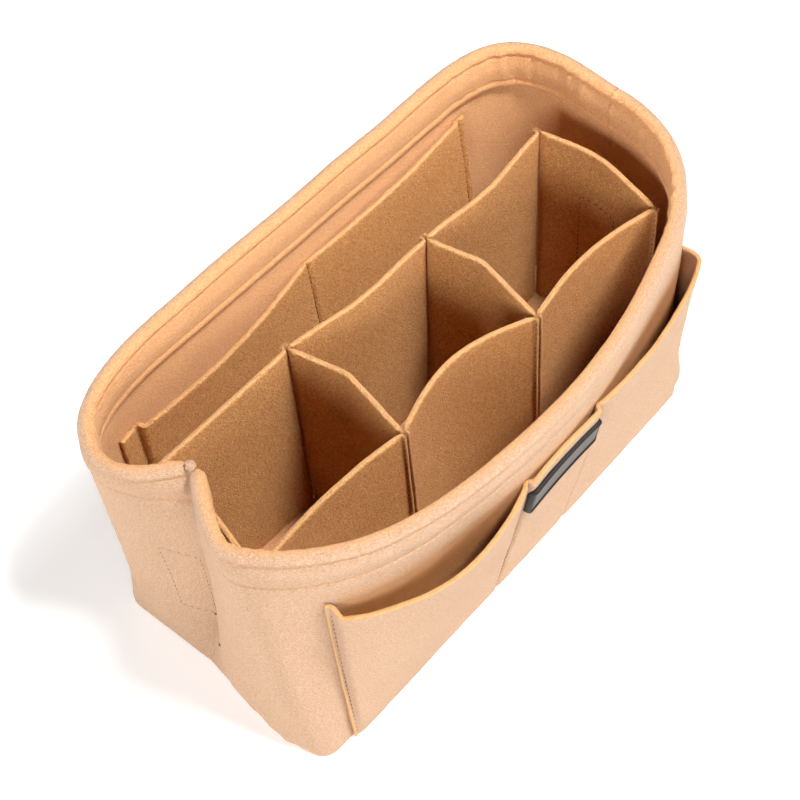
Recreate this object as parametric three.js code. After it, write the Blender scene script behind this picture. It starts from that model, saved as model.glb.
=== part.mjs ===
// Purse organizer insert: a felt tote liner with a lift-out divider unit.
// Millimetres, +Z up, +X along the length, the pockets and the label face -Y.
// The origin is the middle of the underside.
import * as THREE from 'three';

// Felt and clearances
const SHELL_FELT = 3;
const INNER_FELT = 2.5;
const PATCH_THICKNESS = 1.2;
const GAP = 0.3;

// Shell
const HEIGHT = 130;
const HEM_DEPTH = 20;
const BOTTOM_EDGE = 1.6;
const LEAST_STRAIGHT = 1.5;
const WALL_STEPS = 4;

// Foot of the shell
const BASE_LENGTH = 253;
const BASE_DEPTH = 117;
const BASE_LEFT_DRAW = 2;
const BASE_RIGHT_DRAW = 7.2;
const BASE_LEFT_CORNER = 10;
const BASE_RIGHT_CORNER = 22;

// Rim of the shell. A corner of its outline stands an inset in from its end of the rim, or an overhang
// out from it, and its y is measured from the middle.
const RIM_LENGTH = 271.4;
const RIM_SHIFT = 1.7;
const RIM_FOLD_INSET = 8.5;
const RIM_LEFT_FRONT_INSET = 3.1;
const RIM_LEFT_FRONT_Y = 24.5;
const RIM_LEFT_FRONT_ROUND = 11;
const LEFT_SHOULDER_INSET = 30.2;
const RIM_LEFT_SHOULDER_Y = 67.5;
const RIM_LEFT_SHOULDER_ROUND = 49;
const BOW_INSET = 118.8;
const RIM_BOW_Y = 83.6;
const RIM_BOW_ROUND = 73;
const RIM_RIGHT_FRONT_Y = 37.6;
const RIM_RIGHT_FRONT_ROUND = 72;
const RIGHT_SEAM_INSET = 1.8;
const RIM_RIGHT_BACK_OVERHANG = 2.9;
const RIM_RIGHT_BACK_Y = 74.8;
const RIM_RIGHT_BACK_ROUND = 48;
const RIM_LEFT_BACK_INSET = 17.7;
const RIM_LEFT_BACK_Y = 70.3;
const RIM_LEFT_BACK_ROUND = 49;
const RIM_LEFT_BULGE_OVERHANG = 7.1;
const RIM_LEFT_BULGE_Y = 26.6;
const RIM_LEFT_BULGE_ROUND = 46;

// Left end, which is folded inwards at its seam
const SEAM_Y = 9;
const FOLD_APEX = 20;
const FOLD_DEPTH_FOOT = 11.6;
const FOLD_DEPTH_RIM = 15.5;
const FOLD_FRONT_REACH = 19;
const FOLD_BACK_REACH = 9;
const FOLD_FRONT_ROUND = 11;
const FOLD_BACK_ROUND = 8;
const WELT_START = 0.9;
const WELT_TOP_DROP = 2;

// Outer pocket strip
const OUTER_POCKET_DROP = 32.5;
const OUTER_POCKET_FOOT = 1.7;
const OUTER_POCKET_LEFT_MARGIN = 16.5;
const OUTER_POCKET_RIGHT_MARGIN = 19.5;
const CENTRE_POCKET_LENGTH = 44.5;
const CENTRE_POCKET_SHIFT = 0.3;
const POCKET_EASE = 0.6;
const LEFT_POCKET_BULGE = 10.4;
const CENTRE_POCKET_BULGE = 0.5;
const RIGHT_POCKET_BULGE = 8.8;
const EVEN_RISE = 0.5;
const RIGHT_POCKET_RISE = 0.68;
const RIGHT_POCKET_FALL = 0.07;

// Label
const LABEL_LENGTH = 43.5;
const LABEL_HEIGHT = 18;
const LABEL_THICKNESS = 1.6;
const LABEL_DROP = 6.5;

// Inner pocket strip
const INNER_POCKET_DROP_LEFT = 39;
const INNER_POCKET_DROP_RIGHT = 27;
const INNER_POCKET_LEFT_MARGIN = 27.1;
const INNER_POCKET_RIGHT_MARGIN = 26.9;
const INNER_POCKET_STITCH = 1.6;
const INNER_POCKET_BULGE = 7;

// Divider unit
const REAR_SLOT = 26.5;
const FRONT_SLOT = 26;
const LEFT_END_GAP = 2.75;
const RIGHT_END_GAP = 5.6;
const UNIT_DROP = 1;
const CREASE_OFFSET = 6.5;
const CREASE_Y = 4.5;
const FLANGE = 4;
const END_FLANGE = 1.5;
const HINGE_SETBACK = 0.6;
const HINGE_END_GAP = 0.4;
const CREASE_RELIEF = 0.95;
const CREASE_GAP = 0.15;
const CELLS = 3;
const LEFT_FRONT_BOW = 3;
const MIDDLE_FRONT_BOW = 10;
const RIGHT_FRONT_BOW = 5;
const LEFT_BACK_BOW = 0;
const MIDDLE_BACK_BOW = -3;
const RIGHT_BACK_BOW = -3;

// Hook-and-loop patches
const PATCH_WIDTH = 17;
const PATCH_HEIGHT = 43;
const PATCH_FOOT = 28;
const PATCH_EDGE = 2;

const felt = new THREE.MeshStandardMaterial({ color: 0xd9a066, roughness: 0.95, metalness: 0 });
const innerFelt = new THREE.MeshStandardMaterial({ color: 0xbf8347, roughness: 0.95, metalness: 0 });
const leather = new THREE.MeshStandardMaterial({ color: 0x1b1817, roughness: 0.55, metalness: 0 });
const tape = new THREE.MeshStandardMaterial({ color: 0xc9965f, roughness: 0.9, metalness: 0 });

const { lerp } = THREE.MathUtils;

// Points along a polyline whose inner vertices are rounded. A vertex is { x, y, round }.
// Two rounds that share a short side are drawn in alike until they fit on it.
function roundedPath(vertices, straightSteps = 3, roundSteps = 7) {
  const corners = vertices.map((v) => new THREE.Vector2(v.x, v.y));
  const rounds = vertices.map((v) => v.round ?? 0);
  const sides = corners.slice(1).map((c, i) => c.distanceTo(corners[i]));
  const shares = sides.map((side, i) => Math.min(1, (side - LEAST_STRAIGHT) / (rounds[i] + rounds[i + 1])));
  const points = [corners[0]];
  let start = corners[0];
  for (let i = 1; i < corners.length; i++) {
    const arrive = towards(corners[i], corners[i - 1], rounds[i] * shares[i - 1]);
    for (let k = 1; k <= straightSteps; k++) points.push(start.clone().lerp(arrive, k / straightSteps));
    if (i === corners.length - 1) break;
    const leave = towards(corners[i], corners[i + 1], rounds[i] * shares[i]);
    const bend = new THREE.QuadraticBezierCurve(arrive, corners[i], leave);
    points.push(...bend.getPoints(roundSteps).slice(1));
    start = leave;
  }
  return points;
}

function towards(from, to, distance) {
  return to.clone().sub(from).setLength(distance).add(from);
}

// A plan point moved along the path's normal. Positive is to the left of the way the path runs.
function offsetPoint(points, index, distance) {
  const before = points[Math.max(index - 1, 0)];
  const after = points[Math.min(index + 1, points.length - 1)];
  const along = after.clone().sub(before).normalize();
  return new THREE.Vector2(-along.y, along.x).multiplyScalar(distance).add(points[index]);
}

// Where the two ends of the shell stand at height z.
function ends(z) {
  const t = z / HEIGHT;
  const half = lerp(BASE_LENGTH, RIM_LENGTH, t) / 2;
  const middle = lerp(0, RIM_SHIFT, t);
  return { left: middle - half, right: middle + half };
}

// The seam of the left end runs in from the floor's edge to the apex, and up from there.
function leftSeam(z) {
  const fold = z < FOLD_APEX
    ? lerp(BASE_LEFT_DRAW, FOLD_DEPTH_FOOT, z / FOLD_APEX)
    : lerp(FOLD_DEPTH_FOOT, FOLD_DEPTH_RIM, (z - FOLD_APEX) / (HEIGHT - FOLD_APEX));
  return { x: ends(z).left + fold, y: SEAM_Y };
}

function rightSeam(z) {
  return { x: ends(z).right - lerp(0, RIGHT_SEAM_INSET, z / HEIGHT), y: SEAM_Y };
}

function corner(x, y, round) {
  return { x, y, round };
}

// Corner on the straight front edge of the foot.
function frontFootCorner(x, round) {
  const { left, right } = ends(0);
  return corner(x, -BASE_DEPTH / 2 + lerp(0, BASE_RIGHT_DRAW, (x - left) / (right - left)), round);
}

// Corners of the walls on the foot and, in the same order, on the rim.
const foot = ends(0);
const rim = ends(HEIGHT);
const frontFoot = [
  corner(foot.left, SEAM_Y - FOLD_FRONT_REACH, FOLD_FRONT_ROUND),
  frontFootCorner(foot.left, BASE_LEFT_CORNER),
  frontFootCorner(foot.left + LEFT_SHOULDER_INSET, BASE_LEFT_CORNER),
  frontFootCorner(foot.right - BOW_INSET, BASE_RIGHT_CORNER),
  frontFootCorner(foot.right, BASE_RIGHT_CORNER),
];
const frontRim = [
  corner(rim.left + RIM_FOLD_INSET, SEAM_Y - FOLD_FRONT_REACH, FOLD_FRONT_ROUND),
  corner(rim.left + RIM_LEFT_FRONT_INSET, -RIM_LEFT_FRONT_Y, RIM_LEFT_FRONT_ROUND),
  corner(rim.left + LEFT_SHOULDER_INSET, -RIM_LEFT_SHOULDER_Y, RIM_LEFT_SHOULDER_ROUND),
  corner(rim.right - BOW_INSET, -RIM_BOW_Y, RIM_BOW_ROUND),
  corner(rim.right - RIGHT_SEAM_INSET, -RIM_RIGHT_FRONT_Y, RIM_RIGHT_FRONT_ROUND),
];
const backFoot = [
  corner(foot.right, BASE_DEPTH / 2, BASE_RIGHT_CORNER),
  corner(foot.left, BASE_DEPTH / 2, BASE_LEFT_CORNER),
  corner(foot.left + BASE_LEFT_DRAW, SEAM_Y + FOLD_BACK_REACH, FOLD_BACK_ROUND),
];
const backRim = [
  corner(rim.right + RIM_RIGHT_BACK_OVERHANG, RIM_RIGHT_BACK_Y, RIM_RIGHT_BACK_ROUND),
  corner(rim.left + RIM_LEFT_BACK_INSET, RIM_LEFT_BACK_Y, RIM_LEFT_BACK_ROUND),
  corner(rim.left - RIM_LEFT_BULGE_OVERHANG, RIM_LEFT_BULGE_Y, RIM_LEFT_BULGE_ROUND),
];

// The walls run straight from the foot to the rim.
function cornersAt(z, footCorners, rimCorners) {
  const mix = (key, i) => lerp(footCorners[i][key], rimCorners[i][key], z / HEIGHT);
  return footCorners.map((_, i) => corner(mix('x', i), mix('y', i), mix('round', i)));
}

// Outer face of the front half of the shell at height z, from the left seam to the right seam.
function frontOutline(z) {
  return roundedPath([leftSeam(z), ...cornersAt(z, frontFoot, frontRim), rightSeam(z)]);
}

// Outer face of the back half, from the right seam to the left seam.
function backOutline(z) {
  return roundedPath([rightSeam(z), ...cornersAt(z, backFoot, backRim), leftSeam(z)]);
}

// Point on a wall where its outer face passes x or y, set in from that face by depth.
function wallPoint(outline, axis, value, z, depth, fromEnd = false) {
  const points = fromEnd ? outline(z).reverse() : outline(z);
  const side = fromEnd ? -1 : 1;
  const next = points.findIndex((p, i) => i > 0 && (p[axis] - value) * (points[i - 1][axis] - value) <= 0);
  const a = offsetPoint(points, next - 1, side * depth);
  const b = offsetPoint(points, next, side * depth);
  const span = points[next][axis] - points[next - 1][axis];
  const t = span === 0 ? 0 : (value - points[next - 1][axis]) / span;
  const p = a.lerp(b, t);
  return new THREE.Vector3(p.x, p.y, z);
}

// Closed body skinned over a row of closed loops of equal length, with flat ends.
function skin(loops, capOutline) {
  const count = loops[0].length;
  const positions = loops.flat().flatMap((p) => [p.x, p.y, p.z]);
  const index = [];
  for (let i = 0; i + 1 < loops.length; i++) {
    for (let j = 0; j < count; j++) {
      const a = i * count + j;
      const b = i * count + ((j + 1) % count);
      index.push(a, b, b + count, a, b + count, a + count);
    }
  }
  const far = (loops.length - 1) * count;
  const rising = THREE.ShapeUtils.area(capOutline) > 0;
  for (const [a, b, c] of THREE.ShapeUtils.triangulateShape(capOutline, [])) {
    const near = rising ? [a, c, b] : [a, b, c];
    index.push(...near, ...near.map((v) => far + v).reverse());
  }
  const geometry = new THREE.BufferGeometry();
  geometry.setAttribute('position', new THREE.Float32BufferAttribute(positions, 3));
  geometry.setIndex(volume(positions, index) < 0 ? index.reverse() : index);
  geometry.computeVertexNormals();
  return geometry;
}

function volume(positions, index) {
  const at = (i) => new THREE.Vector3().fromArray(positions, 3 * i);
  let sum = 0;
  for (let i = 0; i < index.length; i += 3) sum += at(index[i]).dot(at(index[i + 1]).cross(at(index[i + 2])));
  return sum / 6;
}

// Upright sheet of one thickness along a plan path.
function uprightSheet(path, thickness, bottom, top) {
  const loops = path.map((p, i) => {
    const left = offsetPoint(path, i, thickness / 2);
    const right = offsetPoint(path, i, -thickness / 2);
    return [
      new THREE.Vector3(right.x, right.y, bottom),
      new THREE.Vector3(left.x, left.y, bottom),
      new THREE.Vector3(left.x, left.y, top),
      new THREE.Vector3(right.x, right.y, top),
    ];
  });
  return skin(loops, unitSquare());
}

function unitSquare() {
  return [[0, 0], [1, 0], [1, 1], [0, 1]].map(([x, y]) => new THREE.Vector2(x, y));
}

function steps(from, to, count) {
  return Array.from({ length: count + 1 }, (_, i) => lerp(from, to, i / count));
}

function addMesh(group, name, geometry, material) {
  const mesh = new THREE.Mesh(geometry, material);
  mesh.name = name;
  group.add(mesh);
  return mesh;
}

// Section of a shell half: x is the depth from the outer face, y is the height.
// The top is turned over inwards, so the hem is two sheets thick and its edge is a half round.
function shellSection() {
  const hem = 2 * SHELL_FELT;
  const springing = HEIGHT - SHELL_FELT;
  const turn = new THREE.EllipseCurve(SHELL_FELT, springing, SHELL_FELT, SHELL_FELT, Math.PI, 0, true);
  const outside = steps(FOLD_APEX, springing, WALL_STEPS).slice(0, -1);
  const inside = steps(HEIGHT - HEM_DEPTH, FOLD_APEX, WALL_STEPS);
  return [
    new THREE.Vector2(BOTTOM_EDGE, 0),
    new THREE.Vector2(0, BOTTOM_EDGE),
    ...outside.map((z) => new THREE.Vector2(0, z)),
    ...turn.getPoints(4),
    new THREE.Vector2(hem, HEIGHT - HEM_DEPTH),
    ...inside.map((z) => new THREE.Vector2(SHELL_FELT, z)),
    new THREE.Vector2(SHELL_FELT, 0),
  ];
}

// Plan points of one half of the shell at height z, set in from its outer face by depth.
// The two halves stop just short of the seam plane that joins them.
function halfAt(outline, side, z, depth) {
  const points = outline(z);
  const limit = side * SEAM_Y + GAP / 2;
  return points.map((_, i) => {
    const p = offsetPoint(points, i, depth);
    return new THREE.Vector3(p.x, side * Math.max(side * p.y, limit), z);
  });
}

// side is -1 for the front half and 1 for the back half.
function shellHalf(outline, side) {
  const section = shellSection();
  const columns = section.map((corner) => halfAt(outline, side, corner.y, corner.x));
  const loops = columns[0].map((_, i) => columns.map((column) => column[i]));
  return skin(loops, section);
}

// Felt floor inside the foot of the walls, whose edge follows them over its thickness.
function basePanel() {
  const loops = [0, SHELL_FELT].map((z) => {
    const wall = [...frontOutline(z).slice(0, -1), ...backOutline(z).slice(0, -1)];
    return insetLoop(wall, SHELL_FELT + GAP).map((p) => new THREE.Vector3(p.x, p.y, z));
  });
  return skin(loops, loops[0].map((p) => new THREE.Vector2(p.x, p.y)));
}

// Closed plan loop moved inwards.
function insetLoop(loop, distance) {
  return loop.map((p, i) => {
    const before = loop[(i + loop.length - 1) % loop.length];
    const after = loop[(i + 1) % loop.length];
    const along = after.clone().sub(before).normalize();
    return new THREE.Vector2(-along.y, along.x).multiplyScalar(distance).add(p);
  });
}

// Wedge of turned-in allowances that fills the fold between the two halves at the left seam.
function leftSeamWelt() {
  const levels = steps(FOLD_APEX, HEIGHT - WELT_TOP_DROP, 3);
  const loops = levels.map((z) => {
    const pair = (depth) => {
      const front = halfAt(frontOutline, -1, z, depth)[0];
      const back = halfAt(backOutline, 1, z, depth).at(-1);
      const across = back.clone().sub(front).setLength(GAP);
      return [front.add(across), back.sub(across)];
    };
    const [frontOuter, backOuter] = pair(WELT_START);
    const [frontInner, backInner] = pair(SHELL_FELT);
    return [frontOuter, frontInner, backInner, backOuter];
  });
  return skin(loops, unitSquare());
}

// Strip laid on a wall: levels gives its heights at each station, and the depths of its two faces
// are measured from the wall's outer face.
function wallStrip(outline, axis, stations, levels, innerDepth, outerDepth, fromEnd = false) {
  const loops = stations.map((value) => {
    const at = (z, depth) => wallPoint(outline, axis, value, z, depth, fromEnd);
    const heights = levels(value);
    const up = heights.map((z) => at(z, innerDepth(value, z)));
    const down = heights.map((z) => at(z, outerDepth(value, z))).reverse();
    return [...up, ...down];
  });
  const heights = levels(stations[0]);
  const up = heights.map((z) => new THREE.Vector2(0, z));
  const down = heights.map((z) => new THREE.Vector2(1, z)).reverse();
  return skin(loops, [...up, ...down]);
}

// How far a pocket strip stands off its wall at x: one hump for each pocket between its stitches.
// The hump rises over one share of the pocket's length and falls over another.
function humps(x, stitches, bulges) {
  const quarterSine = (t) => Math.sin((Math.PI / 2) * Math.min(1, t));
  for (let i = 0; i < bulges.length; i++) {
    if (x >= stitches[i] && x <= stitches[i + 1]) {
      const t = (x - stitches[i]) / (stitches[i + 1] - stitches[i]);
      return bulges[i].height * quarterSine(t / bulges[i].rise) * quarterSine((1 - t) / bulges[i].fall);
    }
  }
  return 0;
}

function evenBulge(height) {
  return { height, rise: EVEN_RISE, fall: 1 - EVEN_RISE };
}

const outerPocketTop = HEIGHT - OUTER_POCKET_DROP;
const outerStitches = [
  -BASE_LENGTH / 2 + OUTER_POCKET_LEFT_MARGIN,
  CENTRE_POCKET_SHIFT - CENTRE_POCKET_LENGTH / 2,
  CENTRE_POCKET_SHIFT + CENTRE_POCKET_LENGTH / 2,
  BASE_LENGTH / 2 - OUTER_POCKET_RIGHT_MARGIN,
];
const outerBulges = [
  evenBulge(LEFT_POCKET_BULGE),
  evenBulge(CENTRE_POCKET_BULGE),
  { height: RIGHT_POCKET_BULGE, rise: RIGHT_POCKET_RISE, fall: RIGHT_POCKET_FALL },
];

// Depth of the outer pocket's inner face, negative because it lies outside the wall.
function outerPocketDepth(x, z) {
  const rise = THREE.MathUtils.clamp((z - OUTER_POCKET_FOOT) / (outerPocketTop - OUTER_POCKET_FOOT), 0, 1);
  return -POCKET_EASE - humps(x, outerStitches, outerBulges) * rise;
}

function outerPocket() {
  const [left, centreLeft, centreRight, right] = outerStitches;
  const turn = lerp(right, centreRight, RIGHT_POCKET_FALL);
  const stations = [
    ...steps(left, centreLeft, 12),
    ...steps(centreLeft, centreRight, 6).slice(1),
    ...steps(centreRight, turn, 11).slice(1),
    ...steps(turn, right, 3).slice(1),
  ];
  const outer = (x, z) => outerPocketDepth(x, z) - INNER_FELT;
  const levels = () => steps(OUTER_POCKET_FOOT, outerPocketTop, WALL_STEPS);
  return wallStrip(frontOutline, 'x', stations, levels, outerPocketDepth, outer);
}

function labelPatch() {
  const middle = CENTRE_POCKET_SHIFT;
  const top = outerPocketTop - LABEL_DROP;
  const back = (x, z) => outerPocketDepth(x, z) - INNER_FELT - GAP;
  const face = (x, z) => back(x, z) - LABEL_THICKNESS;
  const stations = steps(middle - LABEL_LENGTH / 2, middle + LABEL_LENGTH / 2, 6);
  const levels = () => [top - LABEL_HEIGHT, top];
  return wallStrip(frontOutline, 'x', stations, levels, back, face);
}

function innerPocket() {
  const bottom = SHELL_FELT + GAP;
  const left = -BASE_LENGTH / 2 + INNER_POCKET_LEFT_MARGIN;
  const right = BASE_LENGTH / 2 - INNER_POCKET_RIGHT_MARGIN;
  const drop = (x) => lerp(INNER_POCKET_DROP_LEFT, INNER_POCKET_DROP_RIGHT, (x - left) / (right - left));
  const stitches = [left, INNER_POCKET_STITCH, right];
  const bulges = [evenBulge(INNER_POCKET_BULGE), evenBulge(INNER_POCKET_BULGE)];
  const back = (x, z) => {
    const rise = (z - bottom) / (HEIGHT - drop(x) - bottom);
    return SHELL_FELT + GAP + humps(x, stitches, bulges) * rise;
  };
  const face = (x, z) => back(x, z) + INNER_FELT;
  const stations = [
    ...steps(left, INNER_POCKET_STITCH, 10),
    ...steps(INNER_POCKET_STITCH, right, 10).slice(1),
  ];
  const levels = (x) => steps(bottom, HEIGHT - drop(x), 3);
  return wallStrip(backOutline, 'x', stations, levels, back, face);
}

// Strip on the inner face of an end wall, for the loop patches.
function endStrip(outline, fromY, toY, bottom, top, thickness, fromEnd) {
  const back = () => SHELL_FELT + GAP;
  const face = () => SHELL_FELT + GAP + thickness;
  const levels = () => steps(bottom, top, 2);
  return wallStrip(outline, 'y', steps(fromY, toY, 5), levels, back, face, fromEnd);
}

// Divider unit: where its cross sheets stand and how its sheets run.
const unitFoot = SHELL_FELT + GAP;
const unitTop = HEIGHT - HEM_DEPTH - UNIT_DROP;
const backInner = BASE_DEPTH / 2 - SHELL_FELT - REAR_SLOT;
const frontInner = -BASE_DEPTH / 2 + SHELL_FELT + FRONT_SLOT;
const leftLimit = Math.max(leftSeam(FOLD_APEX).x + SHELL_FELT, leftSeam(HEIGHT).x + 2 * SHELL_FELT);
const rightLimit = Math.min(rightSeam(0).x - SHELL_FELT, rightSeam(HEIGHT).x - 2 * SHELL_FELT);
const firstCross = leftLimit + LEFT_END_GAP + INNER_FELT / 2 - CREASE_OFFSET;
const lastCross = rightLimit - RIGHT_END_GAP - INNER_FELT / 2 - CREASE_OFFSET;
const crossX = steps(firstCross, lastCross, CELLS);
const backBows = [LEFT_BACK_BOW, MIDDLE_BACK_BOW, RIGHT_BACK_BOW];
const frontBows = [LEFT_FRONT_BOW, MIDDLE_FRONT_BOW, RIGHT_FRONT_BOW];

// One wall sheet of a cell. side is 1 at the back and -1 at the front, and bow is towards +Y.
// Its two ends are turned away from the cell as seam flanges.
function cellPanel(cell, side, bow) {
  const line = side > 0 ? backInner + INNER_FELT / 2 : frontInner - INNER_FELT / 2;
  const inset = (INNER_FELT + GAP) / 2;
  const left = crossX[cell] + inset;
  const right = crossX[cell + 1] - inset;
  const turned = (flange) => line + side * (INNER_FELT / 2 + flange);
  const leftTurn = turned(cell === 0 ? END_FLANGE : FLANGE);
  const rightTurn = turned(cell === CELLS - 1 ? END_FLANGE : FLANGE);
  const run = steps(0, 1, 12).slice(1, -1).map((t) => {
    return new THREE.Vector2(lerp(left, right, t), line + bow * Math.sin(Math.PI * t) ** 2);
  });
  const ends = [new THREE.Vector2(left, line), new THREE.Vector2(right, line)];
  const path = [new THREE.Vector2(left, leftTurn), ends[0], ...run, ends[1], new THREE.Vector2(right, rightTurn)];
  return uprightSheet(path, INNER_FELT, unitFoot, unitTop);
}

// Half of a cross sheet, from its hinge line at the local origin to the crease along local +X.
function crossHalf(length, concaveSide) {
  const half = INNER_FELT / 2;
  const outline = [
    [HINGE_END_GAP, -half * concaveSide],
    [length - CREASE_GAP, -half * concaveSide],
    [length - CREASE_RELIEF, half * concaveSide],
    [HINGE_END_GAP, half * concaveSide],
  ].map(([x, y]) => new THREE.Vector2(x, y));
  const options = { depth: unitTop - unitFoot, bevelEnabled: false };
  return new THREE.ExtrudeGeometry(new THREE.Shape(outline), options);
}

function hookPatch(fromX, side) {
  const geometry = new THREE.BoxGeometry(PATCH_WIDTH, PATCH_THICKNESS, PATCH_HEIGHT);
  const y = side * (INNER_FELT / 2 + GAP + PATCH_THICKNESS / 2);
  return geometry.translate(fromX + PATCH_WIDTH / 2, y, PATCH_FOOT - unitFoot + PATCH_HEIGHT / 2);
}

// Group that turns local +X from a hinge line towards the crease.
function halfFrame(hinge, crease) {
  const group = new THREE.Group();
  group.position.set(hinge.x, hinge.y, unitFoot);
  group.rotation.z = Math.atan2(crease.y - hinge.y, crease.x - hinge.x);
  return group;
}

function crossSheet(number) {
  const x = crossX[number - 1];
  const crease = new THREE.Vector2(x + CREASE_OFFSET, CREASE_Y);
  const rearHinge = new THREE.Vector2(x, backInner - HINGE_SETBACK);
  const foreHinge = new THREE.Vector2(x, frontInner + HINGE_SETBACK);
  const rear = halfFrame(rearHinge, crease);
  const fore = halfFrame(foreHinge, crease);
  const rearLength = rearHinge.distanceTo(crease);
  const foreLength = foreHinge.distanceTo(crease);
  addMesh(rear, `cross_${number}_rear`, crossHalf(rearLength, -1), innerFelt);
  addMesh(fore, `cross_${number}_fore`, crossHalf(foreLength, 1), innerFelt);
  if (number === 1) {
    addMesh(rear, 'left_hook_patch', hookPatch(rearLength - PATCH_EDGE - PATCH_WIDTH, -1), tape);
  }
  if (number === crossX.length) {
    addMesh(fore, 'right_hook_patch', hookPatch(foreLength - PATCH_EDGE - PATCH_WIDTH, -1), tape);
  }
  const group = new THREE.Group();
  group.add(rear, fore);
  return group;
}

function shell() {
  const group = new THREE.Group();
  addMesh(group, 'front_shell', shellHalf(frontOutline, -1), felt);
  addMesh(group, 'back_shell', shellHalf(backOutline, 1), felt);
  addMesh(group, 'base_panel', basePanel(), felt);
  addMesh(group, 'left_seam_welt', leftSeamWelt(), felt);
  addMesh(group, 'outer_pocket', outerPocket(), felt);
  addMesh(group, 'label_patch', labelPatch(), leather);
  addMesh(group, 'inner_pocket', innerPocket(), innerFelt);
  const patchTop = PATCH_FOOT + PATCH_HEIGHT;
  const leftFrom = SEAM_Y + PATCH_EDGE;
  const leftPatch = endStrip(
    backOutline, leftFrom, leftFrom + PATCH_WIDTH, PATCH_FOOT, patchTop, PATCH_THICKNESS, true);
  addMesh(group, 'left_loop_patch', leftPatch, tape);
  const rightTo = CREASE_Y - PATCH_EDGE;
  const rightPatch = endStrip(
    frontOutline, rightTo - PATCH_WIDTH, rightTo, PATCH_FOOT, patchTop, PATCH_THICKNESS, true);
  addMesh(group, 'right_loop_patch', rightPatch, tape);
  return group;
}

function dividerUnit() {
  const group = new THREE.Group();
  for (let cell = 0; cell < CELLS; cell++) {
    addMesh(group, `back_panel_${cell + 1}`, cellPanel(cell, 1, backBows[cell]), innerFelt);
    addMesh(group, `front_panel_${cell + 1}`, cellPanel(cell, -1, frontBows[cell]), innerFelt);
  }
  for (let number = 1; number <= crossX.length; number++) group.add(crossSheet(number));
  return group;
}

const organizer = new THREE.Group();
organizer.name = 'purse_organizer_insert';
organizer.add(shell(), dividerUnit());

export default organizer;
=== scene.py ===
import math
import random

import bpy
import numpy as np
from mathutils import Euler, Matrix, Vector, noise


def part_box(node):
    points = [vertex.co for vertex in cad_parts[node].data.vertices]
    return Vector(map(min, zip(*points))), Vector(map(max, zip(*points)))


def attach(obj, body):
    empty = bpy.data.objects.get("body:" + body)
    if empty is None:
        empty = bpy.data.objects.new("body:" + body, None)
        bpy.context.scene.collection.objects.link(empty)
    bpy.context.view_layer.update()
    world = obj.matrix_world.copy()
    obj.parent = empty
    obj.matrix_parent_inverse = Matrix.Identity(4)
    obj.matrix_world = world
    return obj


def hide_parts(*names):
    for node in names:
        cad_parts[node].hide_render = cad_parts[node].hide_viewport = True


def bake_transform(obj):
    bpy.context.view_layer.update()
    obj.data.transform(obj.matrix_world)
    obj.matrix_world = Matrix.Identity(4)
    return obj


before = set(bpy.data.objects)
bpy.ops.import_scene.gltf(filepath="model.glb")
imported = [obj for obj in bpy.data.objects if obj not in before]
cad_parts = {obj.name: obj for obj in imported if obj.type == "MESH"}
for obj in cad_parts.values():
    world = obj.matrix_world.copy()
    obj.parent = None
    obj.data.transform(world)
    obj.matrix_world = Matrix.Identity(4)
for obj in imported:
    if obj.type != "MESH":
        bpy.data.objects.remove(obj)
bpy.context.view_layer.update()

# Looks of a felt tote insert around its CAD frame. Sizes here are millimetres, Blender's are metres.
# +X runs along the length, the outer pockets face -Y, and +Z is up.
MM = 0.001
rng = random.Random(11)

# Felt
SHELL_FELT = 3.0
INNER_FELT = 2.5
POCKET_FELT = 2.0
STITCHED_FELT = 1.5
WAVE_SIZE, RIPPLE_SIZE, RIPPLE_SHARE = 26.0, 7.0, 0.35
RAGGED, RAGGED_SIZE, RAGGED_REACH = 0.22, 2.6, 2.5
EDGE_ROUND = 0.46
EDGE_BAND = 1.1
NAP, NAP_SIZE = 0.05, 1.7
FACE_APART, SHEET_APART, SEED_APART = 9.0, 37.0, 17.3
HAIR_RADIUS, HAIR_BEND_RADIUS = 0.055, 0.045
HAIR_LENGTH, HAIRS_PER_MM = 1.0, 1.3

# Thread
THREAD_RADIUS = 0.2
STITCH_LENGTH = 2.3
STITCH_PITCH = 3.0
STITCH_SINK = 0.1
STITCH_SIDES = 6
RIM_THREAD = 0.15
BOX_THREAD = 0.13
KNOT_THREAD = 0.42
CROSS_BOX_THREAD = 0.22

# Shell
HEIGHT = 130
FOOT_LENGTH, RIM_LENGTH, RIM_SHIFT = 253.0, 271.4, 1.7
FRONT_FOOT_Y, FRONT_FOOT_SKEW = -58.5, 7.2
HEM_DEPTH = 20
FLOOR_REACH = 2.6
SEAM_Y = 9.0
SEAM_FOOT_DEPTH = 2.0
RIGHT_SEAM_DEPTH = 1.8
LEFT_SEAM_SWAY = 4.0
FOLD_APEX = 22.0
APEX_DEPTH = 12.6
RIM_FOLD_DEPTH = 17.5
RIM_TIP_DEPTH = 4.5
RIM_TIP_START = 98.0
TIP_ROUND = 5.0
WALL_STEP, HEM_STEP = 3.25, 0.62
ROLL_Z, ROLL_RISE, ROLL_DEPTH = 126.95, 3.05, 3.15
UPPER_STITCH, LOWER_STITCH = 125.9, 113.4
GROOVE_DEPTH = 0.5
GROOVE_WIDTH = 0.68
# Painted shadow along the stitch grooves: how far their colour goes to the painted shade.
GROOVE_PAINTED_SHADE = 0.28
HEM_PUFF = 0.6
COLUMNS = 230
SEAM_REACH = 8
SEAM_OVERLAP = 0.4
GUSSET_SWELL = 4.5
GUSSET_EASE = 30.0
GUSSET_CLEAR = 6.0
GUSSET_END_X = -90.0
SHELL_WAVES = ((0.35, 34), (0.12, 8), (0.05, 1.8))
OUTER_FACE, HEM_FACE = 0.3, SHELL_FELT + 0.5
WRINKLE, WRINKLE_SIZE, WRINKLE_SQUASH = 0.9, 2.6, 0.12
WRINKLE_RIGHT, WRINKLE_LEFT, WRINKLE_Z = 70, -98, 105
RIM_WAVE, RIM_WAVE_SIZE = 0.5, 30
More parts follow.
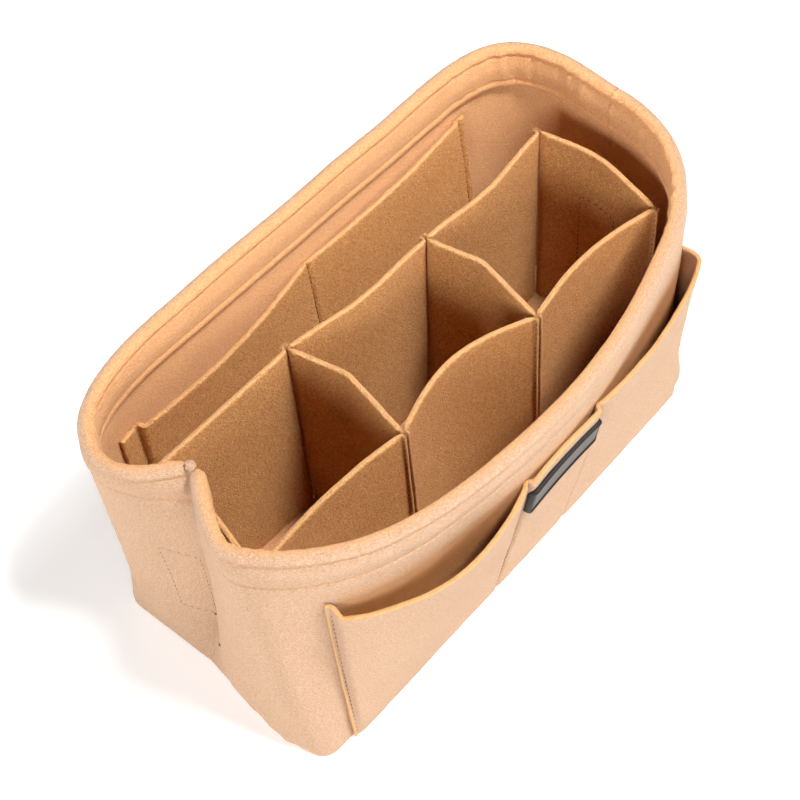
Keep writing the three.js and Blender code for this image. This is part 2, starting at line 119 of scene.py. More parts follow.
TIP_SAG, TIP_PINCH = 1.6, 0.5
FLANK_SHIFT = (3.0, 14.0)
RIGHT_BELLY = 2.6
RIGHT_BELLY_X, RIGHT_BELLY_LENGTH = 104.0, 24.0
RIGHT_BELLY_Z, RIGHT_BELLY_HEIGHT = 100.0, 32.0
RIGHT_BELLY_FADE = 40.0
RELIEF_SEED = 1
RIM_HAIRS, HEM_HAIRS, SHELL_HAIR = 900, 500, 0.9
BOX_CORNERS = ((24.0, 75.0), (8.0, 75.0), (8.0, 31.0), (22.0, 31.0), (24.0, 75.0))
TUFT_HAIRS, TUFT_HAIR = 70, 1.4
TUFT_SIZE = (2.0, 2.4, 1.7)
TUFT_SIDES, TUFT_RINGS = 16, 9

# Pockets
POCKET_TOP = 97.5
POCKET_FOOT = 1.7
POCKET_STITCHES = (-110.0, -21.95, 22.55, 107.0)
POCKET_BULGES = (10.4, 0.0, 6.6)
POCKET_RISES = (0.5, 0.5, 0.68)
POCKET_FALLS = (0.5, 0.5, 0.07)
POCKET_EASE = 0.3
END_TUCK = 2.0
CENTRE_LIFT = 1.9
# Painted shade in the gap behind the outer pocket: its strength, how far above the pocket's mouth it starts,
# and the depth over which it deepens.
POCKET_PAINTED_SHADE = 1.0
PAINTED_SHADE_START, PAINTED_SHADE_DEPTH = 13.0, 24.0
FLANGE_WIDTH = 2.6
PLEAT_STEP = 2.4
FLANGE_RISE = 4.2
INNER_LEFT, INNER_MIDDLE, INNER_RIGHT = -99.4, 1.6, 99.6
INNER_TOP_LEFT, INNER_TOP_RIGHT = 91.0, 103.0
INNER_BULGES = (6.4, 2.6)
INNER_PLEATS = (2.2, 0.6)
INNER_FLANGES = (8.0, 2.0)
INNER_FOOT = 3.3

# Label
LABEL_LENGTH = 43.5
LABEL_HEIGHT = 18.0
LABEL_MIDDLE = (0.3, 82.0)
LABEL_THICKNESS = 1.3
LABEL_CORNER = 2.2
LABEL_BORDER = 2.2
LABEL_ROLL = 0.7
LABEL_TAPER = 0.82
LABEL_STEP = 0.7
LABEL_LIP, LABEL_LIP_WIDTH = 0.45, 0.8
LABEL_GROOVE, LABEL_GROOVE_WIDTH = 0.3, 0.35

# Divider unit
UNIT_FOOT = 3.3
UNIT_TOP = 109.0
CROSS_X = (-115.0, -39.95, 35.1, 110.15)
CREASE_OFFSET = 6.5
CREASE_Y = 4.5
CREASE_ROUNDS = (9.0, 2.5, 2.5, 12.0)
BACK_LINE, FRONT_LINE = 30.25, -30.75
BACK_BOWS = (0.0, -3.0, -3.0)
FRONT_BOWS = (3.0, 10.0, 5.0)
BACK_LEANS = ((-1.0, 0.0), (-0.7, 1.8), (0.7, -2.3), (1.0, 1.0))
FRONT_LEANS = ((-4.0, 2.0), (-0.8, 2.4), (-1.7, 0.0), (-2.5, -1.0))
EAR = 2.5
PANEL_INSET = 1.1
PANEL_ROUND = 2.6
PINCHED_FELT = 1.15
PINCH_REACH = 4.5
CROSS_TUCK = -0.2
CROSS_END = 0.8
CROSS_REACH = 2.4
PATCH_FOOT, PATCH_TOP = 28.0, 71.0
PATCH_THICKNESS = 1.2
PATCH_LENGTH = 17.0
LEFT_PATCH_Y, RIGHT_PATCH_Y = 11.0, -14.5
HINGE_BACK, HINGE_FRONT = 28.4, -28.9
CROSS_BOX = ((10.0, 33.0), (10.0, 81.0), (-9.0, 81.0), (-9.0, 33.0), (10.0, 33.0))
JOINT_HAIRS, JOINT_HAIR = 40, 1.3


def lerp(a, b, t):
    return a + (b - a) * t


def smooth(t):
    t = np.clip(t, 0, 1)
    return t * t * (3 - 2 * t)


def bell(x, middle, width):
    return np.exp(-((x - middle) / width) ** 2)


def unit(vectors):
    return vectors / np.maximum(np.linalg.norm(vectors, axis=-1, keepdims=True), 1e-9)


def grain(points, size, seed):
    """Smooth noise from -1 to 1 at each point, with features of that size."""
    flat = np.reshape(points, (-1, 3)) / size + seed * SEED_APART
    return np.reshape([noise.noise(Vector(p)) for p in flat], np.shape(points)[:-1])


# Plan outlines of the walls


def rounded_path(corners, straight=10, bend=16):
    """Plan points along a polyline of (x, y, round) corners."""
    corners = np.array(corners, float)
    xy, rounds = corners[:, :2], corners[:, 2]
    sides = np.linalg.norm(np.diff(xy, axis=0), axis=1)
    shares = np.minimum(1, (sides - 1.5) / np.maximum(rounds[:-1] + rounds[1:], 1e-9))
    points = [xy[0]]
    start = xy[0]
    for i in range(1, len(xy)):
        arrive = xy[i] + (xy[i - 1] - xy[i]) / sides[i - 1] * rounds[i] * shares[i - 1]
        points += [lerp(start, arrive, k / straight) for k in range(1, straight + 1)]
        if i == len(xy) - 1:
            break
        leave = xy[i] + (xy[i + 1] - xy[i]) / sides[i] * rounds[i] * shares[i]
        for k in range(1, bend + 1):
            t = k / bend
            points.append((1 - t) ** 2 * arrive + 2 * t * (1 - t) * xy[i] + t * t * leave)
        start = leave
    return np.array(points)


def along(points):
    steps = np.linalg.norm(np.diff(points, axis=0), axis=1)
    return np.cumsum([0, *steps])


def resample(points, positions):
    """The path's points at distances along it."""
    run = along(points)
    return np.stack([np.interp(positions, run, part) for part in points.T], axis=1)


def ends(z):
    half = lerp(FOOT_LENGTH, RIM_LENGTH, z / HEIGHT) / 2
    middle = RIM_SHIFT * (z / HEIGHT)
    return middle - half, middle + half


def left_seam(z):
    fold = lerp(SEAM_FOOT_DEPTH, APEX_DEPTH, z / FOLD_APEX)
    if z > FOLD_APEX:
        fold = lerp(APEX_DEPTH, RIM_FOLD_DEPTH, (z - FOLD_APEX) / (HEIGHT - FOLD_APEX))
    tip = RIM_TIP_DEPTH * smooth((z - RIM_TIP_START) / (HEIGHT - RIM_TIP_START))
    return ends(z)[0] + fold + tip, left_seam_y(z), 0


def middle_share(z):
    """1 at half height, falling to 0 at the foot and the rim."""
    return 4 * z / HEIGHT * (1 - z / HEIGHT)


def left_seam_y(z):
    return SEAM_Y - LEFT_SEAM_SWAY * middle_share(z)


def right_seam(z):
    return ends(z)[1] - RIGHT_SEAM_DEPTH * (z / HEIGHT), SEAM_Y, 0


foot_left, foot_right = ends(0)
rim_left, rim_right = ends(HEIGHT)


def front_foot(x, bend):
    return x, FRONT_FOOT_Y + FRONT_FOOT_SKEW * (x - foot_left) / (foot_right - foot_left), bend


FRONT_FOOT = np.array([
    (foot_left, -10, 11),
    front_foot(foot_left, 10),
    front_foot(foot_left + 30.2, 10),
    front_foot(foot_right - 118.8, 22),
    front_foot(foot_right, 22),
])
FRONT_RIM = np.array([
    (rim_left + 8.5, -10, 11),
    (rim_left + 3.1, -24.5, 11),
    (rim_left + 30.2, -67.5, 49),
    (rim_right - 118.8, -83.6, 73),
    (rim_right - 1.8, -37.6, 72),
])
BACK_FOOT = np.array([(foot_right, 58.5, 22), (foot_left, 58.5, 10), (foot_left + 2, 18, 8)])
BACK_RIM = np.array([
    (rim_right + 2.9, 74.8, 48),
    (rim_left + 17.7, 70.3, 49),
    (rim_left - 7.1, 26.6, 46),
])


def front_outline(z):
    return rounded_path([left_seam(z), *lerp(FRONT_FOOT, FRONT_RIM, z / HEIGHT), right_seam(z)])


def back_outline(z):
    corners = lerp(BACK_FOOT, BACK_RIM, z / HEIGHT)
    corners[2, :2] += np.array(FLANK_SHIFT) * middle_share(z)
    return rounded_path([right_seam(z), *corners, left_seam(z)])


def front_swell(lines):
    """How far the front half swells: below its right rim, and along the fold from the left seam's apex to the
    front left foot."""
    x, y = lines[..., 0], lines[..., 1]
    heights = np.arange(HEIGHT + 1.0)[:, None]
    belly = RIGHT_BELLY * bell(x, RIGHT_BELLY_X, RIGHT_BELLY_LENGTH)
    belly = belly * bell(heights, RIGHT_BELLY_Z, RIGHT_BELLY_HEIGHT) * smooth((SEAM_Y - y) / RIGHT_BELLY_FADE)
    foot_y = FRONT_FOOT[1, 1]
    reach = np.clip((y - foot_y - GUSSET_CLEAR) / (SEAM_Y - foot_y - GUSSET_CLEAR), 0, 1)
    fold = np.maximum(FOLD_APEX * reach, 0.5)
    below = np.clip(heights / fold, 0, 1)
    above = np.exp(-np.maximum(heights - fold, 0) / GUSSET_EASE)
    gusset = GUSSET_SWELL * below * above * smooth(reach * 4) * smooth((1 - reach) * 5) * (x < GUSSET_END_X)
    return belly + gusset


class Wall:
    """Outer face of one half of the shell, by column along its path, height and depth into the felt."""

    def __init__(self, outline, side):
        self.side = side
        paths = [outline(z) for z in range(HEIGHT + 1)]
        self.lines = np.array([resample(p, np.linspace(0, along(p)[-1], COLUMNS)) for p in paths])
        way = unit(np.gradient(self.lines, axis=1))
        normals = np.stack([way[..., 1], -way[..., 0]], axis=2)
        from_right_seam = np.arange(COLUMNS)[::side]
        square = np.clip(1 - from_right_seam / SEAM_REACH, 0, 1)[None, :, None]
        self.normals = unit(lerp(normals, (1.0, 0.0), square))
        if side < 0:
            self.lines += self.normals * front_swell(self.lines)[..., None]
        self.length = along(self.lines[HEIGHT // 2])[-1]

    def mixed(self, values, column, z):
        i = np.clip(np.floor(column).astype(int), 0, COLUMNS - 2)
        k = np.clip(np.floor(z).astype(int), 0, HEIGHT - 1)
        f = (column - i)[..., None]
        g = (z - k)[..., None]
        low = lerp(values[k, i], values[k, i + 1], f)
        return lerp(low, lerp(values[k + 1, i], values[k + 1, i + 1], f), g)

    def normal(self, column, z):
        column, z = np.broadcast_arrays(column, z)
        flat = unit(self.mixed(self.normals, column, z))
        return np.concatenate([flat, np.zeros(flat.shape[:-1] + (1,))], axis=-1)

    def at(self, column, z, depth):
        column, z, depth = np.broadcast_arrays(column, z, depth)
        flat = self.mixed(self.lines, column, z) - self.normal(column, z)[..., :2] * depth[..., None]
        seam = np.where(flat[..., 0] < 0, left_seam_y(z), SEAM_Y)
        y = self.side * np.maximum(self.side * flat[..., 1], self.side * seam)
        return np.stack([flat[..., 0], y, z], axis=-1)

    def columns(self, axis, values, heights):
        """Columns where the outer face passes each x or y, one row for each height."""
        rows = []
        for line in self.lines:
            run = line[:, axis]
            first, last = sorted((run.argmin(), run.argmax()))
            if axis == 1:
                first, last = (self.side * run).argmax(), COLUMNS - 1
            part, index = run[first:last + 1], np.arange(first, last + 1)
            order = np.argsort(part)
            rows.append(np.interp(values, part[order], index[order]))
        levels = np.arange(HEIGHT + 1)
        return np.stack([np.interp(heights, levels, column) for column in np.array(rows).T], axis=1)


front = Wall(front_outline, -1)
back = Wall(back_outline, 1)


# Mesh pieces


def linked(obj):
    bpy.context.scene.collection.objects.link(obj)
    return obj


class Felt:
    """Points and faces of a piece, and what its material reads at each point: place on the sheet in mm,
    cut edge (below 0 for shade painted into grooves and gaps) and painted warm bounce light on inside faces."""

    def __init__(self):
        self.points, self.faces, self.place, self.cut, self.painted_bounce = [], [], [], [], []
        self.count = 0

    def add(self, points, faces, place, cut, painted_bounce=0.0):
        points = np.reshape(points, (-1, 3))
        self.points.append(points)
        self.faces += [[v + self.count for v in face] for face in faces]
        self.place.append(np.broadcast_to(np.reshape(place, (-1, 3)), points.shape))
        self.cut.append(np.broadcast_to(np.ravel(cut), len(points)))
        self.painted_bounce.append(np.broadcast_to(np.ravel(painted_bounce), len(points)))
        self.count += len(points)

    def build(self, name, material, slot, body=None, replaced=()):
        """Make the Blender object, which rides on the body and stands for the replaced nodes."""
        mesh = bpy.data.meshes.new(name)
        points = np.concatenate(self.points) * MM
        mesh.from_pydata(points.tolist(), [], self.faces, shade_flat=False)
        place = mesh.attributes.new("place", "FLOAT_VECTOR", "POINT")
        place.data.foreach_set("vector", np.concatenate(self.place).astype(np.float32).ravel())
        for key, values in (("cut", self.cut), ("painted_bounce", self.painted_bounce)):
            layer = mesh.attributes.new(key, "FLOAT", "POINT")
            layer.data.foreach_set("value", np.concatenate(values).astype(np.float32))
        mesh.materials.append(material)
        obj = linked(bpy.data.objects.new(name, mesh))
        if body:
            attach(obj, body)
        if replaced:
            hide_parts(*replaced)
        return obj


def grid_faces(rows, columns, close_rows=False, start=0, flip=False):
    faces = []
    for i in range(rows if close_rows else rows - 1):
        for j in range(columns - 1):
            a, b = start + i * columns + j, start + ((i + 1) % rows) * columns + j
            face = [a, a + 1, b + 1, b]
            faces.append(face[::-1] if flip else face)
    return faces


def slab_faces(rows, columns):
    """Faces of two grids, one after the other, closed around their edge."""
    faces = grid_faces(rows, columns) + grid_faces(rows, columns, start=rows * columns, flip=True)
    border = [(0, j) for j in range(columns)] + [(i, columns - 1) for i in range(1, rows)]
    border += [(rows - 1, j) for j in range(columns - 2, -1, -1)] + [(i, 0) for i in range(rows - 2, 0, -1)]
    ring = [i * columns + j for i, j in border]
    for k, a in enumerate(ring):
        b = ring[(k + 1) % len(ring)]
        faces.append([a, a + rows * columns, b + rows * columns, b])
    return faces


def tube_faces(rings, sides):
    """Faces of a tube of rings, one after the other, with a cap at each end."""
    faces = []
    for i in range(rings - 1):
        for k in range(sides):
            a, b = i * sides + k, i * sides + (k + 1) % sides
            faces.append([a, b, b + sides, a + sides])
    last = (rings - 1) * sides
    return faces + [list(range(sides))[::-1], list(range(last, last + sides))]


def spaced(length, step):
    """Distances from 0 to length, closer together by both cut edges."""
    edge = np.array([0, 0.12, 0.35, 0.7, 1.2])
    middle = np.linspace(2.2, length - 2.2, max(2, round((length - 4.4) / step) + 1))
    return np.concatenate([edge, middle, length - edge[::-1]])


def felt_sheet(middle, thickness, across, up, seed, relief=0.3, fuzz=1.0):
    """Closed felt sheet about a grid of middle points, rows going up, with rounded cut edges.
    across and up are the distances of its columns and rows along the sheet."""
    rows, columns = middle.shape[:2]
    side = np.minimum(across, across[-1] - across)[None, :]
    end = np.minimum(up, up[-1] - up)[:, None]
    inset = np.minimum(side, end)
    way_across = unit(np.gradient(middle, axis=1))
    way_up = unit(np.gradient(middle, axis=0))
    facing = unit(np.cross(way_across, way_up))
    ripple = RIPPLE_SHARE * relief * grain(middle, RIPPLE_SIZE, seed + 1)
    wave = relief * grain(middle, WAVE_SIZE, seed) + ripple
    middle = middle + facing * wave[..., None]
    ragged = RAGGED * grain(middle, RAGGED_SIZE, seed + 2) * np.clip(1 - inset / RAGGED_REACH, 0, 1)
    outward = np.where((side < end)[..., None], way_across * np.sign(across - across.mean())[None, :, None],
                       way_up * np.sign(up - up.mean())[:, None, None])
    middle = middle + outward * ragged[..., None]
    thickness = np.broadcast_to(thickness, inset.shape)
    corner = EDGE_ROUND * thickness
    half = thickness / 2 - corner + np.sqrt(corner ** 2 - (corner - np.minimum(inset, corner)) ** 2)
    cut = smooth(1 - inset / EDGE_BAND)
    place = np.stack(np.broadcast_arrays(across[None, :], up[:, None], seed * SHEET_APART), axis=-1)
    places = [place, place + (0, 0, FACE_APART)]
    both = np.stack([middle + facing * half[..., None], middle - facing * half[..., None]])
    nap = NAP * grain(both, NAP_SIZE, seed + 3)[..., None]
    both = both + np.stack([facing, -facing]) * nap
    felt = Felt()
    felt.add(both, slab_faces(rows, columns), places, [cut, cut])
    picks = [rng.randrange(columns) for _ in range(int(fuzz * across[-1] * HAIRS_PER_MM))]
    spread = unit(np.stack([facing[-1, j] * rng.uniform(-1, 1) + way_up[-1, j] for j in picks]))
    base = [middle[-1, j] + facing[-1, j] * rng.uniform(-0.4, 0.4) * thickness[-1, j] for j in picks]
    add_fuzz(felt, base, spread, HAIR_LENGTH)
    return felt


def loose(lowest=-1.0):
    """Random direction of any length, whose z is at least the lowest."""
    return np.array([rng.uniform(-1, 1), rng.uniform(-1, 1), rng.uniform(lowest, 1)])


def add_fuzz(felt, bases, directions, length, cut=1.0):
    """Loose fibre ends that stand up from a cut or rubbed edge."""
    for base, way in zip(bases, directions):
        side = unit(np.cross(way, loose()))
        other = np.cross(way, side)
        reach = length * rng.uniform(0.35, 1.0)
        lean = side * rng.uniform(-0.7, 0.7) * reach
        ring = [side * math.cos(a) + other * math.sin(a) for a in (0, 2.09, 4.19)]
        low = [base - way * 0.2 + r * HAIR_RADIUS for r in ring]
        high = [base + way * reach * 0.6 + lean * 0.4 + r * HAIR_BEND_RADIUS for r in ring]
        tip = base + way * reach + lean
        faces = [[0, 2, 1], [0, 1, 4, 3], [1, 2, 5, 4], [2, 0, 3, 5], [3, 4, 6], [4, 5, 6], [5, 3, 6]]
        felt.add([*low, *high, tip], faces, base, cut)


def add_stitches(felt, line, facing, radius=THREAD_RADIUS, sink=STITCH_SINK):
    """Lock stitches along a line on a surface: short threads whose ends dive into the felt."""
    total = along(line)[-1]
    count = max(1, int(total / STITCH_PITCH))
    middles = (np.arange(count) + 0.5) * total / count
    shares = np.array([-1, -0.62, 0, 0.62, 1])
    girths = np.array([0.55, 0.95, 1, 0.95, 0.55])
    angles = [2 * math.pi * k / STITCH_SIDES for k in range(STITCH_SIDES)]
    faces = tube_faces(len(shares), STITCH_SIDES)
    for middle in middles:
        spots = resample(line, middle + shares * STITCH_LENGTH / 2)
        out = unit(resample(np.hstack([line, facing]), [middle])[0, 3:])
        way = unit(spots[-1] - spots[0])
        cross = np.cross(way, out)
        rings = []
        for spot, share, girth in zip(spots, shares, girths):
            centre = spot + out * (radius * (0.9 - 1.5 * share ** 2) - sink)
            around = [cross * math.cos(a) + out * math.sin(a) for a in angles]
            rings.append([centre + way_out * radius * girth for way_out in around])
        felt.add(rings, faces, (middle, 0, 0), 0)


# Materials


def shader(name):
    """New material, its node tree and its one Principled shader."""
    material = bpy.data.materials.new(name)
    material.use_nodes = True
    tree = material.node_tree
    tree.nodes.clear()
    body = node(tree, "ShaderNodeBsdfPrincipled")
    node(tree, "ShaderNodeOutputMaterial", Surface=body.outputs["BSDF"])
    return material, tree, body


def feed(made, values):
    """Link a node's sockets to the outputs given for them, or set their values."""
    for key, value in values.items():
        if hasattr(value, "links"):
            made.id_data.links.new(value, made.inputs[key])
        else:
            made.inputs[key].default_value = value


def node(tree, kind, **inputs):
    made = tree.nodes.new(kind)
    feed(made, inputs)
    return made


def attribute_of(tree, name, output="Fac"):
    made = node(tree, "ShaderNodeAttribute")
    made.attribute_name = name
    return made.outputs[output]


def noise_of(tree, place, scale, detail=3.0, roughness=0.6):
    made = node(tree, "ShaderNodeTexNoise", Vector=place, Scale=scale, Detail=detail, Roughness=roughness)
    return made.outputs["Fac"]


def sheet_noise(tree, place, scale, detail, roughness, turn=0.0, lift=0.0):
    """Noise on a sheet, turned on it, scaled along and across it, and lifted off it."""
    made = node(tree, "ShaderNodeMapping", Vector=place, Scale=(*scale, 1.0))
    feed(made, {"Location": (0, 0, lift), "Rotation": (0, 0, turn)})
    return noise_of(tree, made.outputs["Vector"], 1.0, detail, roughness)


def ramp_of(tree, value, low, high, bottom=0.0, top=1.0):
    made = node(tree, "ShaderNodeMapRange", Value=value)
    feed(made, {"From Min": low, "From Max": high, "To Min": bottom, "To Max": top})
    return made.outputs["Result"]


def bump_of(tree, height, strength, distance, **under):
    made = node(tree, "ShaderNodeBump", Height=height, Strength=strength, Distance=distance, **under)
    return made.outputs["Normal"]


# Sockets of a Mix node that takes colours, where names are shared with its other kinds
MIX_SHARE, MIX_A, MIX_B, MIX_RESULT = 0, 6, 7, 2


def blended(tree, share, a, b, mode="MIX"):
    made = node(tree, "ShaderNodeMix")
    made.data_type = "RGBA"
    made.blend_type = mode
    feed(made, {MIX_SHARE: share, MIX_A: a, MIX_B: b})
    return made.outputs[MIX_RESULT]


# Painted bounce light: tint multiplied into the shell's lining and floor panel, redder and brighter than the
# same felt outside.
PAINTED_BOUNCE_TINT = (1.36, 1.12, 0.79, 1)
SHEEN_TINT = (1.0, 0.88, 0.74, 1)
FIBRE_BUMP, GRAIN_BUMP, SPECK_BUMP = 0.0008, 0.0009, 0.0012


def felt_material(name, base, shade, fibre, edge, fibre_share, nap, speck):
    """Pressed felt: blotches, fine grain, lighter stray fibres lying aslant, specks, a brighter cut edge,
    painted shade where cut is below 0, and painted warm bounce light where the lining mark is above 0."""
    material, tree, body = shader(name)
    # Painted shade: a deep, saturated brown mixed in where cut is below 0, in the stitch grooves and the gap
    # behind the outer pocket.
    crease = (shade[0] * 1.35, shade[1] * 0.95, shade[2] * 0.4, 1)
    pit = (shade[0] * 0.62, shade[1] * 0.5, shade[2] * 0.4, 1)
    place = attribute_of(tree, "place", "Vector")
    cut = attribute_of(tree, "cut")
    blotch = ramp_of(tree, noise_of(tree, place, 0.055, 3.0), 0.3, 0.7)
    fine = sheet_noise(tree, place, (1.9, 1.9), 2.0, 0.7, lift=0.5)
    fibres = sheet_noise(tree, place, (0.8, 2.2), 1.0, 0.7, turn=0.8)
    crossing = sheet_noise(tree, place, (0.9, 2.6), 1.0, 0.7, turn=-0.5)
    specks = sheet_noise(tree, place, (2.3, 2.3), 1.0, 0.5, lift=0.5)
    colour = base
    for value, start, full, share, tone in (
        (blotch, 0.0, 1.0, 0.5, shade),
        (fine, 0.4, 0.6, 0.9, shade),
        (fibres, 0.52, 0.62, fibre_share, fibre),
        (crossing, 0.54, 0.64, fibre_share, fibre),
        (specks, 0.52, 0.34, speck, pit),
        (specks, 0.52, 0.68, speck, fibre),
        (cut, 0.1, 0.9, 0.8, edge),
        (cut, 0.0, -1.0, 1.0, crease),
    ):
        colour = blended(tree, ramp_of(tree, value, start, full, 0.0, share), colour, tone)
    # Painted bounce light: the warm tint, multiplied in by the lining mark.
    colour = blended(tree, attribute_of(tree, "painted_bounce"), colour, PAINTED_BOUNCE_TINT, "MULTIPLY")
    rough = bump_of(tree, fibres, nap, FIBRE_BUMP)
    rough = bump_of(tree, fine, nap, GRAIN_BUMP, Normal=rough)
    rough = bump_of(tree, specks, nap, SPECK_BUMP, Normal=rough)
    feed(body, {"Base Color": colour, "Normal": rough, "Roughness": 0.95, "Specular IOR Level": 0.1})
    feed(body, {"Sheen Weight": 0.15, "Sheen Roughness": 0.5, "Sheen Tint": SHEEN_TINT})
    return material


LEATHER, LEATHER_PALE = (0.055, 0.044, 0.037, 1), (0.115, 0.094, 0.08, 1)
LEATHER_BORDER = (0.012, 0.0092, 0.0078, 1)


def leather_material(name):
    """Dark leather: fine pebbled grain under a soft sheen, rubbed paler inside its darker border."""
    material, tree, body = shader(name)
    place = attribute_of(tree, "place", "Vector")
    pebble = node(tree, "ShaderNodeTexVoronoi", Vector=place, Scale=2.6).outputs["Distance"]
    pores = noise_of(tree, place, 1.6, 4.0)
    colour = blended(tree, pores, LEATHER, LEATHER_PALE)
    border = ramp_of(tree, attribute_of(tree, "cut"), 0.0, 1.0, 0.0, 0.95)
    colour = blended(tree, border, colour, LEATHER_BORDER)
    feed(body, {"Base Color": colour, "Normal": bump_of(tree, pebble, 0.35, 0.0002)})
    feed(body, {"Roughness": ramp_of(tree, pores, 0.3, 0.7, 0.45, 0.62), "Specular IOR Level": 0.22})
    return material


def thread_material(name, pale, dark):
    """Spun thread: a fine twist of lighter and darker ply."""
    material, tree, body = shader(name)
    place = node(tree, "ShaderNodeTexCoord").outputs["Object"]
    twist = node(tree, "ShaderNodeTexWave", Vector=place, Scale=900.0, Distortion=2.0).outputs["Fac"]
    rough = bump_of(tree, twist, 0.4, 0.0001)
    feed(body, {"Base Color": blended(tree, twist, pale, dark), "Normal": rough, "Roughness": 0.8})
    return material


def floor_material(name):
    material, tree, body = shader(name)
    place = node(tree, "ShaderNodeTexCoord").outputs["Object"]
    cloud = noise_of(tree, place, 6.0, 2.0)
    colour = blended(tree, cloud, (0.9, 0.9, 0.9, 1), (0.92, 0.92, 0.92, 1))
    feed(body, {"Base Color": colour, "Roughness": 0.9, "Specular IOR Level": 0.1})
    feed(body, {"Emission Color": (1.0, 1.0, 1.0, 1), "Emission Strength": 0.28})
    return material


CAMEL = (0.60, 0.38, 0.247, 1)
CAMEL_SHADE = (0.505, 0.30, 0.174, 1)
CAMEL_FIBRE = (0.69, 0.495, 0.355, 1)
CAMEL_EDGE = (0.66, 0.355, 0.13, 1)
# The inner felt is the shell's camel felt painted redder and more saturated: painted bounce light for the
# shade inside the insert.
INNER = (0.86, 0.39, 0.108, 1)
INNER_SHADE = (0.66, 0.25, 0.05, 1)
INNER_FIBRE = (1.0, 0.63, 0.28, 1)
INNER_EDGE = (0.80, 0.45, 0.20, 1)
shell_felt = felt_material("shell_felt", CAMEL, CAMEL_SHADE, CAMEL_FIBRE, CAMEL_EDGE, 0.5, 0.5, 0.15)
inner_felt = felt_material("inner_felt", INNER, INNER_SHADE, INNER_FIBRE, INNER_EDGE, 0.45, 0.7, 0.5)
tape = felt_material("loop_tape", CAMEL, CAMEL_SHADE, CAMEL_FIBRE, CAMEL, 0.9, 1.0, 0.2)
leather = leather_material("label_leather")
thread = thread_material("thread", (0.66, 0.40, 0.21, 1), (0.5, 0.28, 0.13, 1))
brown_thread = thread_material("brown_thread", (0.24, 0.11, 0.04, 1), (0.14, 0.06, 0.02, 1))
dark_thread = thread_material("dark_thread", (0.28, 0.12, 0.035, 1), (0.14, 0.055, 0.015, 1))


# Shell


def shell_section():
    """Depth and height around the section of a shell half, with how much of a cut edge each point is."""
    rows = [(1.6, 0.0, 0), (0.8, 0.18, 0), (0.2, 0.75, 0), (0.0, 1.6, 0)]
    rows += [(0.0, z, 0) for z in np.arange(4, 108, WALL_STEP)]
    rows += [(0.0, z, 0) for z in np.arange(109, 126.9, HEM_STEP)]
    rows += [(SHELL_FELT - ROLL_DEPTH * math.cos(a), ROLL_Z + ROLL_RISE * math.sin(a), 0)
             for a in np.linspace(0.02, math.pi - 0.02, 15)]
    hem = 2 * SHELL_FELT
    edge = HEIGHT - HEM_DEPTH
    rows += [(hem, z, 0) for z in np.arange(126.6, edge + 1.2, -HEM_STEP)]
    rows += [(hem - 0.1, edge + 0.6, 0.6), (hem - 0.5, edge + 0.1, 1)]
    rows += [(hem - 1.3, edge, 1), (SHELL_FELT, edge, 1)]
    rows += [(SHELL_FELT, z, 0) for z in np.arange(edge - 2, 2, -WALL_STEP)]
    rows += [(SHELL_FELT, 0.0, 0)]
    return np.array(rows)


def groove(z):
    """1 along the two stitch lines of the hem, falling off to 0 beside them."""
    return bell(z, UPPER_STITCH, GROOVE_WIDTH) + bell(z, LOWER_STITCH, GROOVE_WIDTH)


def shell_relief(wall, column, depth, z):
    """How far the felt stands out from its section at a point."""
    points = wall.at(column, z, depth)
    inside = depth > SHELL_FELT
    relief = sum(rise * grain(points, size, RELIEF_SEED + k) for k, (rise, size) in enumerate(SHELL_WAVES))
    puff = HEM_PUFF * np.sin(math.pi * np.clip((z - LOWER_STITCH) / (UPPER_STITCH - LOWER_STITCH), 0, 1)) ** 2
    swell = (puff - GROOVE_DEPTH * groove(z)) * ((depth < OUTER_FACE) | inside)
    relief = relief + np.where(depth > HEM_FACE, -1, 1) * swell
    x = points[..., 0]
    squeeze = smooth((x - WRINKLE_RIGHT) / 35) + smooth((WRINKLE_LEFT - x) / 20)
    ripple = grain(points * (1, 1, WRINKLE_SQUASH), WRINKLE_SIZE, RELIEF_SEED + 3)
    return relief - np.where(inside, WRINKLE * squeeze * ripple * smooth((z - WRINKLE_Z) / 12), 0)


